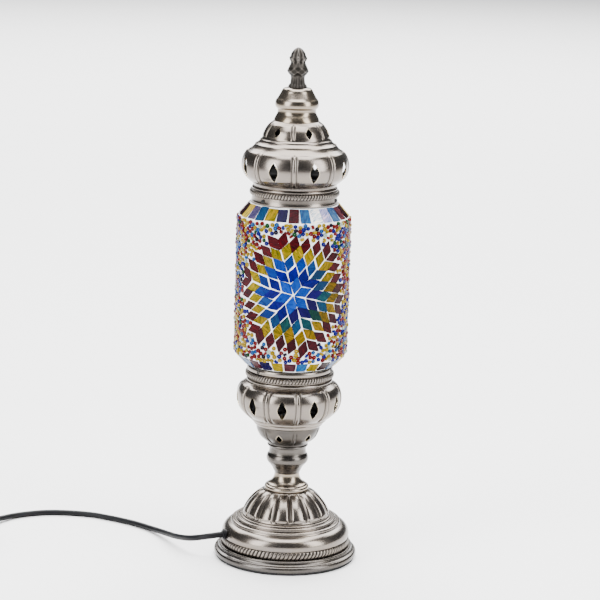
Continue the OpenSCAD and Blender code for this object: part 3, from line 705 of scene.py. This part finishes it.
def tiles(name, centre_u, centre_v, outline, tint, r, lean, stands_for, thick=2, proud=0.3,
          chamfer=0.33, taper=0.35):
    """Flat tiles on the tube. outline is (tile, corner, 2) in the tile's own plane, and each tile
    stands at angle u and height v on a surface of radius r that leans back by lean. Levels: back,
    front edge, and a front face higher by chamfer and smaller by taper, closed by a middle point."""
    count, sides = outline.shape[:2]
    size = np.linalg.norm(outline, axis=2, keepdims=True)
    inner = outline * (1 - taper / size)
    tilt = random.normal(0, 0.012, (count, 2))
    levels = []
    for shape, height in ((outline, proud - thick), (outline, proud - chamfer), (inner, proud)):
        h = height + (shape * tilt[:, None, :]).sum(2)
        levels.append(np.concatenate([shape, h[..., None]], 2))
    middle = np.concatenate([np.zeros((count, 1, 2)), np.full((count, 1, 1), proud)], 2)
    points = np.concatenate(levels + [middle], 1)
    a, b, h = points[..., 0], points[..., 1], points[..., 2]
    ring = r + h * np.cos(lean) - b * np.sin(lean)
    z = np.asarray(centre_v)[:, None] + b * np.cos(lean) + h * np.sin(lean)
    angle = np.asarray(centre_u)[:, None]
    x = ring * np.sin(angle) + a * np.cos(angle)
    y = -ring * np.cos(angle) + a * np.sin(angle)
    corners = np.stack([x, y, z], -1)
    wall = grid_faces(3, sides)
    j = np.arange(sides)
    cap = np.stack([2 * sides + j, 2 * sides + (j + 1) % sides, 0 * j + 3 * sides], 1)
    back = j[::-1][None, :]
    per = 3 * sides + 1
    shift = (np.arange(count) * per)[:, None, None]
    faces = [(f[None] + shift).reshape(-1, f.shape[1]) for f in (wall, cap, back)]
    way = random.uniform(0, np.pi, (count, 1))
    cut_from = random.uniform(0, 900, (count, 1))
    grain = np.stack([a * np.cos(way) - b * np.sin(way) + cut_from,
                      a * np.sin(way) + b * np.cos(way), 0 * a, 0 * a + 1], -1)
    piece = new_piece(name, corners, faces, tint=np.repeat(np.c_[tint, np.ones(count)], per, 0),
                      grain=grain.reshape(-1, 4))
    return dressed(closed_up(piece, weld=False), tile_glass, "shade", stands_for)


def rounded(corner_points, keep=0.9, each=3):
    """Each corner of the outlines is cut off by a short arc of points between its two sides."""
    before = np.roll(corner_points, 1, 1)
    after = np.roll(corner_points, -1, 1)
    t = np.linspace(0, 1, each)[None, None, :, None]
    a = (corner_points * keep + before * (1 - keep))[:, :, None]
    c = (corner_points * keep + after * (1 - keep))[:, :, None]
    p = corner_points[:, :, None]
    bend = (1 - t) ** 2 * a + 2 * t * (1 - t) * p + t ** 2 * c
    return bend.reshape(len(corner_points), -1, 2)


def star_ring(n):
    """Centres and turns of ring n on both faces: along the arm n pitches and the grout spoke between
    arms, aside by half pitches."""
    face, arm, i = (v.ravel() for v in np.meshgrid([0, 1], np.arange(6), np.arange(n), indexing="ij"))
    turn = arm * np.pi / 3 + star_turn
    along = n * tile_pitch * np.cos(np.pi / 6) + spoke
    aside = (2 * i - n + 1) * tile_pitch / 2
    u = star_u + along * np.sin(turn) + aside * np.cos(turn)
    v = along * np.cos(turn) - aside * np.sin(turn)
    return face, u, v, turn


def rhombs(turn, jitter=0.35):
    """Rhombs with their long way out from the star's middle, every corner moved a little."""
    c = tile_side * np.cos(np.pi / 6)
    shape = np.array([[0, c], [-tile_side / 2, 0], [0, -c], [tile_side / 2, 0]])
    shape = shape[None] * random.uniform(0.94, 1.04, (len(turn), 1, 1))
    shape = shape + random.uniform(-jitter, jitter, (len(turn), 4, 2))
    angle = -turn + random.normal(0, 0.045, len(turn))
    cos, sin = np.cos(angle)[:, None], np.sin(angle)[:, None]
    return np.stack([shape[..., 0] * cos - shape[..., 1] * sin,
                     shape[..., 0] * sin + shape[..., 1] * cos], -1)


# Ring: lit colour towards the upper left, shaded colour towards the lower right, spread. Going from one to
# the other across the star is painted light.
ring_colours = [
    ("sky", (0.003, 0.028, 0.22), (0.002, 0.028, 0.17), 0.2, "sky_tiles"),
    ("cobalt", (0.001, 0.0003, 0.1), (0.003, 0.001, 0.03), 0.25, "cobalt_tiles"),
    ("turquoise", (0.001, 0.018, 0.15), (0.002, 0.026, 0.02), 0.35, "turquoise_tiles"),
    ("amber", (0.15, 0.11, 0.0003), (0.1, 0.06, 0.0003), 0.3, "amber_tiles"),
    ("maroon", (0.035, 0.0003, 0.002), (0.022, 0.002, 0.004), 0.3, "maroon_tiles")]
laid = []
for n, (word, light, deep, spread, node) in enumerate(ring_colours, 1):
    face, u, v, turn = star_ring(n)
    u = u + random.normal(0, 0.3, len(u))
    v = v + random.normal(0, 0.3, len(v))
    # Painted light: a tile's colour goes from the lit colour at the upper left to the shaded one at the lower
    # right, with a random spread.
    drift = np.clip(0.5 + (u - v) / 75 + random.normal(0, 0.18, len(u)), 0, 1)[:, None]
    tint = (1 - drift) * light + drift * np.array(deep)
    tint = tint * random.uniform(1 - spread, 1 + spread, (len(u), 1))
    shapes = rhombs(turn)
    tiles(f"{word}_star", (u / wall_r) + face * np.pi, v + star_z, rounded(shapes), tint, wall_r, 0,
          [node])
    laid.append(np.stack([u + face * np.pi * wall_r, v + star_z, turn], 1))
laid = np.vstack(laid)

# ---------- shoulder and bottom rows ----------
# Rectangular offcuts of the same glass, one row round the sloping shoulder and one round the
# drawn-in bottom edge, in mixed colours.
offcuts = {"maroon": (0.03, 0.0005, 0.003), "brown": (0.05, 0.014, 0.02), "cherry": (0.012, 0.002, 0.004),
           "straw": (0.36, 0.26, 0.03), "olive": (0.17, 0.12, 0.0005), "slate": (0.045, 0.036, 0.09),
           "lilac": (0.3, 0.28, 0.45), "clear": (0.75, 0.78, 0.8), "azure": (0.008, 0.06, 0.17),
           "steel": (0.03, 0.07, 0.15), "teal": (0.006, 0.035, 0.09), "navy": (0.002, 0.0005, 0.025)}
shoulder_order = "maroon azure clear lilac steel brown cherry straw slate teal olive navy".split()
bottom_order = "brown azure olive cherry steel straw slate teal azure maroon navy olive".split()


def row(name, count, top, foot, high, r, z, lean, stands_for, order):
    """One row of count tiles, top wide above, foot wide below and high along the slope. The first
    colour of the order is at the front, and the order goes on to the right and back from the left."""
    shape = np.array([[top / 2, high / 2], [-top / 2, high / 2], [-foot / 2, -high / 2],
                      [foot / 2, -high / 2]])
    shapes = shape[None] * random.uniform(0.9, 1.03, (count, 1, 2))
    shapes = shapes + random.uniform(-0.35, 0.35, (count, 4, 2))
    place = np.arange(count) - count // 2
    tint = np.array([offcuts[order[k % len(order)]] for k in place])
    tint = tint * random.uniform(0.85, 1.15, (count, 1))
    angle = place * 2 * np.pi / count + random.normal(0, 0.006, count)
    tiles(name, angle, np.full(count, z), rounded(shapes, 0.93), tint, r, lean, stands_for)


row("shoulder_row", 28, 8.7, 9.7, 14, 44.4, z_shoulder + 6.2, np.radians(40.3), ["shoulder_tiles"],
    shoulder_order)
row("bottom_row", 26, 11, 9, 12, 45.4, z_wall - 6.7, np.radians(-43), ["skirt_tiles"], bottom_order)

# ---------- seed beads ----------
# Glass seed beads, about 4 mm across with a hole, pressed into the grout wherever no tile lies.
# Most lie flat and some stand on edge. They are strewn and then pushed apart.
low_z, high_z = 192.6, 315
girth = 2 * np.pi * wall_r
apart, pushed_apart = 3.0, 3.62
clear_of_tile, still_clear = 1.7, 1.5
half_long, half_wide = tile_side * np.cos(np.pi / 6), tile_side / 2


def off_tiles(place):
    """Distance from each place to the nearest rhomb of the stars."""
    du = (place[:, None, 0] - laid[None, :, 0] + girth / 2) % girth - girth / 2
    dv = place[:, None, 1] - laid[None, :, 1]
    sin, cos = np.sin(laid[None, :, 2]), np.cos(laid[None, :, 2])
    long_way = np.abs(du * sin + dv * cos) / half_long
    wide_way = np.abs(du * cos - dv * sin) / half_wide
    return ((long_way + wide_way - 1) * half_long * half_wide / np.hypot(half_long, half_wide)).min(1)


kept = np.zeros((0, 2))
for handful in range(260):
    drop = np.c_[random.uniform(0, girth, 300), random.uniform(low_z, high_z, 300)]
    for bead in drop[off_tiles(drop) > clear_of_tile]:
        side = np.abs(kept[:, 0] - bead[0])
        if len(kept) == 0 or (np.hypot(np.minimum(side, girth - side), kept[:, 1] - bead[1]) > apart).all():
            kept = np.vstack([kept, bead])
for shake in range(30):  # each moves a pair that is too near by 0.3 of what is missing
    du = (kept[:, None, 0] - kept[None, :, 0] + girth / 2) % girth - girth / 2
    dv = kept[:, None, 1] - kept[None, :, 1]
    distance = np.hypot(du, dv) + 1e3 * np.eye(len(kept))
    push = 0.3 * np.clip(pushed_apart - distance, 0, None) / distance
    kept = kept + np.stack([(du * push).sum(1), (dv * push).sum(1)], 1)
    kept[:, 1] = np.clip(kept[:, 1], low_z, high_z)
kept = kept[off_tiles(kept) > still_clear]
bead_count = len(kept)
bead_size = random.uniform(0.84, 1.02, bead_count)
on_edge = random.random(bead_count) < 0.22
spin = random.uniform(0, 2 * np.pi, bead_count)
bead_colours = [
    ("red", (0.11, 0.0003, 0.0003), 0.3), ("yellow", (0.26, 0.17, 0.0002), 0.32),
    ("blue", (0.0006, 0.0006, 0.12), 0.17), ("pale_blue", (0.005, 0.06, 0.21), 0.09),
    ("clear", (0.3, 0.4, 0.34), 0.02), ("green", (0.0003, 0.04, 0.008), 0.05),
    ("dark", (0.003, 0.0005, 0.01), 0.05)]
choice = random.choice(len(bead_colours), bead_count, p=[c[2] for c in bead_colours])
around = np.arange(12) * 2 * np.pi / 12
section = np.arange(6) * 2 * np.pi / 6
ring_r, wire_r, high, bead_proud = 1.22, 0.93, 1.25, 0.4
bead_ring = (ring_r + wire_r * np.cos(section))[:, None]
unit = np.stack([bead_ring * np.cos(around), bead_ring * np.sin(around),
                 (high * wire_r * np.sin(section))[:, None] + 0 * around], -1).reshape(-1, 3)
bead_faces = np.concatenate([grid_faces(6, 12),
                             np.stack([60 + np.arange(12), 60 + (np.arange(12) + 1) % 12,
                                       (np.arange(12) + 1) % 12, np.arange(12)], 1)])
for c, (word, colour, share) in enumerate(bead_colours):
    mine = choice == c
    shape = unit[None] * bead_size[mine, None, None]
    edge = on_edge[mine, None]
    stood = np.stack([shape[..., 2] * high, shape[..., 1], shape[..., 0] * 0.9], -1)
    local = np.where(edge[..., None], stood, shape)
    cos, sin = np.cos(spin[mine])[:, None], np.sin(spin[mine])[:, None]
    a = local[..., 0] * cos - local[..., 1] * sin
    b = local[..., 0] * sin + local[..., 1] * cos
    z = kept[mine, 1][:, None] + b
    # On the bend at the foot of the wall, which starts at 195 mm, the beads follow the coat inwards
    drawn_in = np.clip((195 - z) / 7, 0, 1) ** 2 * 2.6
    angle = (kept[mine, 0] / wall_r)[:, None]
    r = wall_r + bead_proud + local[..., 2] - drawn_in
    corners = np.stack([r * np.sin(angle) + a * np.cos(angle),
                        -r * np.cos(angle) + a * np.sin(angle), z], -1)
    faces = (bead_faces[None] + (np.arange(mine.sum()) * len(unit))[:, None, None]).reshape(-1, 4)
    bead_glass = Finish(f"{word}_bead_glass", colour, Roughness=0.16, Specular_IOR_Level=0.1)
    speck = bead_glass.noise((420, 420, 420), detail=2)
    deeper = tuple(v * 0.55 for v in colour)
    bead_glass.feed("Base Color", bead_glass.mix((speck - 0.35).between(0, 0.3), deeper, colour))
    beads = new_piece(f"{word}_beads", corners, [faces])
    beads.data.shade_smooth()
    dressed(beads, bead_glass, "shade")

# ---------- cap ----------
# A spun collar with a twisted wire, the pierced top bowl, a pierced cone, a bell and a cast finial,
# drawn together by a rod through the middle. Grub screws hold it on the tube's upper neck.
cast("upper_glass_ring", flowing([[36.6, 328.6], [38.6, 328.6], [38.6, 328.6], [38.7, 329.4], [38.3, 331.2],
                                  [38.2, 334.8], [38.2, 334.8], [37.6, 335.2], [37.6, 335.2], [37.6, 340],
                                  [37.6, 340]] + arc((36.8, 341.4), 1.4, 1.3, -40, 70, 7)
                                 + [[36.8, 343], [36.8, 343], [30, 343], [30, 343], [30, 341.4], [30, 341.4],
                                    [36.6, 341.4], [36.6, 341.4]]), body="cap", stands_for=["upper_collar"])
strands("upper_wire", 86, 37.6, 40.3, 334.9, 5.2, 1.1, 1, "cap", ["upper_rope"])
top_line = flowing([[30, 343.1], [36.8, 343.1], [36.8, 343.1], [37.4, 344.4], [38.4, 346], [41, 348.6],
                    [44.2, 351.8], [46.2, 355.8], [47.1, 360.8], [46.6, 366], [45.2, 370.2], [43, 373.6],
                    [40.4, 375.6], [39.2, 376.5], [39.2, 376.5], [38.6, 377], [37.4, 378.3], [36.5, 379.5],
                    [36.2, 380.3], [36.2, 380.3], [34.8, 380.9], [33.2, 382.1], [32.2, 383.3],
                    [31.9, 384.1], [31.9, 384.1], [28.4, 384.2]])
pierced("pierced_top_bowl", top_line, (346.4, 375.4), 8, -23.5, (9, 18.5), 359.8, (1.9, 0.8, 0.45), 12, 14,
        plate, "cap", ["top_bowl"])
cone_line = flowing([[31.4, 384.4], [30.6, 385.1], [29.9, 386.3], [28.7, 389.6], [26.9, 393.5], [24.7, 396.6],
                     [22.6, 399], [21, 400.3], [20, 401]])
pierced("pierced_cone", cone_line, (385.8, 399.6), 6, -36, (6.4, 10.6), 392.2, (1.3, 0.6, 0.35), 14, 8,
        plate, "cap", ["upper_cone"])
spun("bell", flowing([[20.2, 401], [19.9, 402.4], [18.7, 405], [17.4, 407.4], [17, 409.6], [17.3, 411.8],
                      [17.3, 411.8], [18.6, 413], [19.35, 415], [19.3, 417.2], [18.7, 419.4], [18.7, 419.4],
                      [17.4, 421], [15.9, 423.5], [14.4, 426.2], [13.4, 428.2], [12, 429.7], [9.6, 430.4],
                      [6, 430.4]]), finish=tinted, body="cap", slot="warm_silver",
     stands_for=["bell_cap"])


neck_at = (0.25, 0.09, 4)


def chasing(angle, share, r):
    """Cast relief, by height: fine upright ribs on the neck, crossing straps on the bulb, leaf tips
    round the collar and eight soft flutes on the bud."""
    neck = hump(share, *neck_at) * 0.25 * np.cos(18 * angle)
    strap = np.abs(np.sin(4 * angle + 26 * share)) ** 0.6 + np.abs(np.sin(4 * angle - 26 * share)) ** 0.6
    bulb = hump(share, 0.47, 0.1, 4) * 0.5 * (1.1 - strap)
    leaf = hump(share, 0.69, 0.05) * 0.7 * np.cos(8 * angle)
    bud = hump(share, 0.84, 0.1, 4) * 0.28 * np.cos(8 * angle)
    return neck + bulb + leaf + bud


finial_line = flowing([[0.01, 430.4], [8, 430.4], [8, 430.4], [8.3, 431.1], [7.6, 432.6],
                       [6.6, 433.8], [6.3, 434.8], [6.3, 434.8], [6.1, 437], [6.2, 439.8],
                       [6.6, 441], [8.5, 443], [9.3, 445.2],
                       [8.9, 447.2], [7, 450.6], [6, 452.6], [6, 453.6], [6, 453.6], [6.9, 454.9],
                       [7.6, 456.4], [6.5, 458.2], [6.2, 459.6], [5.2, 461.6], [3.4, 463.9], [1.5, 465.4],
                       [0.01, 465.8]], step=0.35)
finial_columns = 144
finial_share = lengths(finial_line)[:, None] / lengths(finial_line)[-1]
finial_relief = relief_on(finial_line, finial_columns, chasing)
# Tarnish and painted shade on the casting: darkened all over, least on the raised relief, and more again on
# the neck under the bulb.
finial_shade_and_patina = (0.42 + finial_relief * 1.7) * (1 - 0.5 * hump(finial_share, *neck_at))
spun("finial_casting", finial_line, finial_columns, chasing, wall=0, finish=darker_plate, body="cap",
     slot="dark_silver",
     stands_for=["finial"], patina=np.clip(finial_shade_and_patina, 0.02, 1))

# ---------- floor and light ----------
# A pale table top without an edge in sight, a large softbox on each side, one over the lamp, one over
# the table behind it and a dim room, so the metal has bright windows and dark gaps to mirror.
far = 3e4
floor = new_piece("floor", [[[-far, -far, 0], [far, -far, 0]], [[-far, far, 0], [far, far, 0]]],
                  [grid_faces(2, 2, wrap=False)])
table = Finish("table_top", (0.93, 0.93, 0.93), Roughness=0.6)
table.feed("Base Color", table.mix(table.noise((3, 3, 3)), (0.92, 0.92, 0.92), (0.94, 0.94, 0.94)))
floor.data.materials.append(table.material)


def softbox(name, at, aim, wide, high, power):
    """A rectangle of light at a place in metres, facing the aim."""
    light = bpy.data.lights.new(name, "AREA")
    light.shape = "RECTANGLE"
    light.size = wide
    light.size_y = high
    light.energy = power
    box = bpy.data.objects.new(name, light)
    look = (Vector(aim) - Vector(at)).to_track_quat("-Z", "Y").to_matrix().to_4x4()
    box.matrix_world = Matrix.Translation(at) @ look
    bpy.context.scene.collection.objects.link(box)


middle = (0, 0, 0.24)
softbox("left_box", (-1.4, -1.1, 0.9), middle, 0.9, 1.7, 52)
softbox("right_box", (1.5, -0.9, 1.0), middle, 0.8, 1.7, 46)
softbox("top_box", (0.0, 0.15, 2.6), middle, 2.6, 2.8, 250)
softbox("far_box", (0.0, 4.5, 3.2), (0, 4.5, 0), 6, 5, 950)
room = bpy.data.worlds.new("room")
room.use_nodes = True
room.node_tree.nodes["Background"].inputs["Color"].default_value = (0.8, 0.82, 0.85, 1)
room.node_tree.nodes["Background"].inputs["Strength"].default_value = 0.17
bpy.context.scene.world = room
